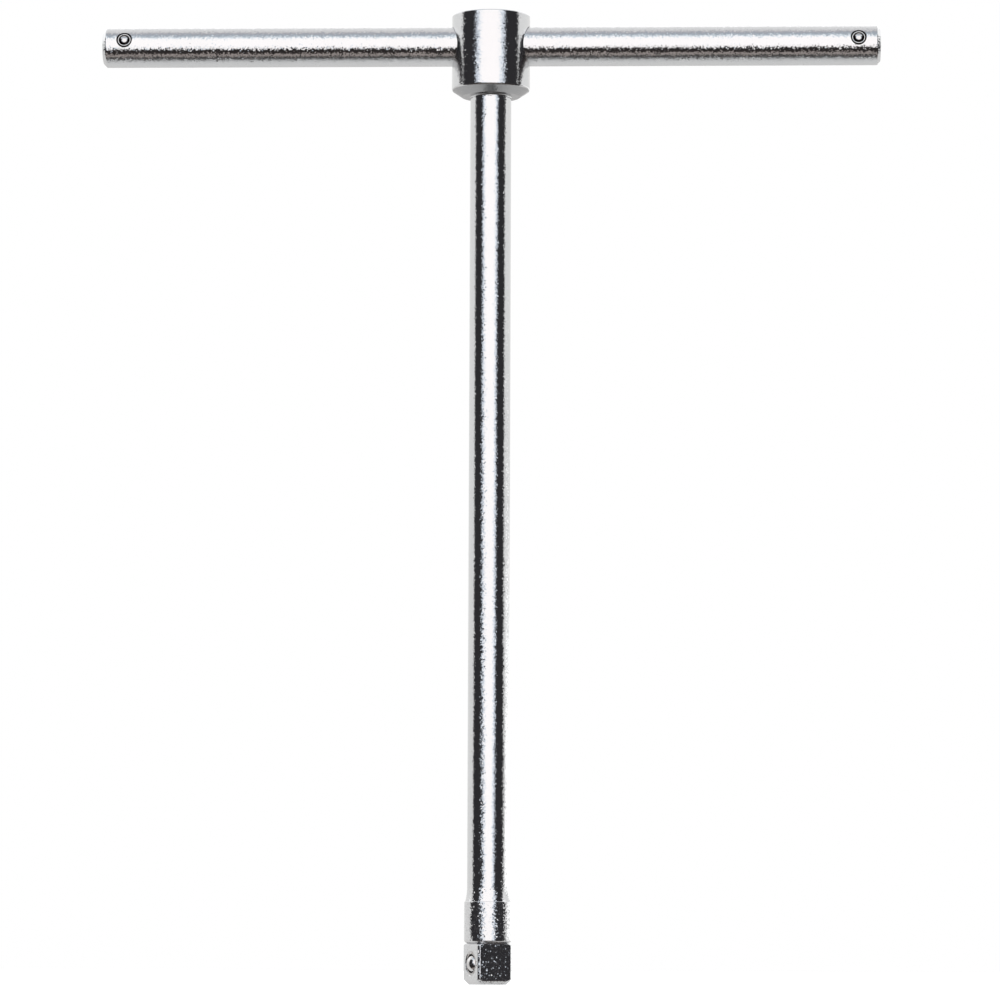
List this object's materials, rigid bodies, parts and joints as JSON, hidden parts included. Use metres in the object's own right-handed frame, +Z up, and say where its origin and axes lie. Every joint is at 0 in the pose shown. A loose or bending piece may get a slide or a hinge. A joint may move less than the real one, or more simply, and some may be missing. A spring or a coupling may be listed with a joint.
{
  "type": "sliding t-handle",
  "caption": "Long sliding T-handle for sockets: round stem with a 3/8 inch square drive below and a cross bar that slides through the head.",
  "frame": {"origin": "centre of the square drive's end face", "axes": "+Z up the stem to the head, +X along the cross bar, -Y the front, where the bar's stop balls show"},
  "size_m": [0.202, 0.0202, 0.25],
  "materials": {
    "satin_chrome": "satin chrome plating with a fine pearl grain",
    "ball_steel": "polished bearing steel",
    "spring_steel": "drawn spring wire"
  },
  "bodies": {
    "handle": {"head": "satin_chrome", "stem": "satin_chrome", "drive_end": "satin_chrome", "drive_spring": "spring_steel"},
    "bar": {"sliding_bar": "satin_chrome", "bar_spring_left": "spring_steel", "bar_spring_right": "spring_steel"},
    "stop_ball_left": {"bar_ball_left": "ball_steel"},
    "stop_ball_right": {"bar_ball_right": "ball_steel"},
    "socket_ball": {"drive_ball": "ball_steel"}
  },
  "joints": [
    {"name": "bar_slide", "type": "slide", "parent": "handle", "child": "bar", "axis": [1, 0, 0], "range_m": [-0.0853, 0.0853]},
    {"name": "stop_ball_left_press", "type": "slide", "parent": "bar", "child": "stop_ball_left", "axis": [0, 0.9636, -0.2672], "range_m": [0, 0.0003], "stiffness_N_per_m": 2500, "springref_m": -0.0004, "deforming": ["bar_spring_left"]},
    {"name": "stop_ball_right_press", "type": "slide", "parent": "bar", "child": "stop_ball_right", "axis": [0, 0.9636, -0.2672], "range_m": [0, 0.0003], "stiffness_N_per_m": 2500, "springref_m": -0.0004, "deforming": ["bar_spring_right"]},
    {"name": "socket_ball_press", "type": "slide", "parent": "handle", "child": "socket_ball", "axis": [0.891, 0.454, 0], "range_m": [0, 0.0009], "stiffness_N_per_m": 4000, "springref_m": -0.0005, "deforming": ["drive_spring"]}
  ]
}
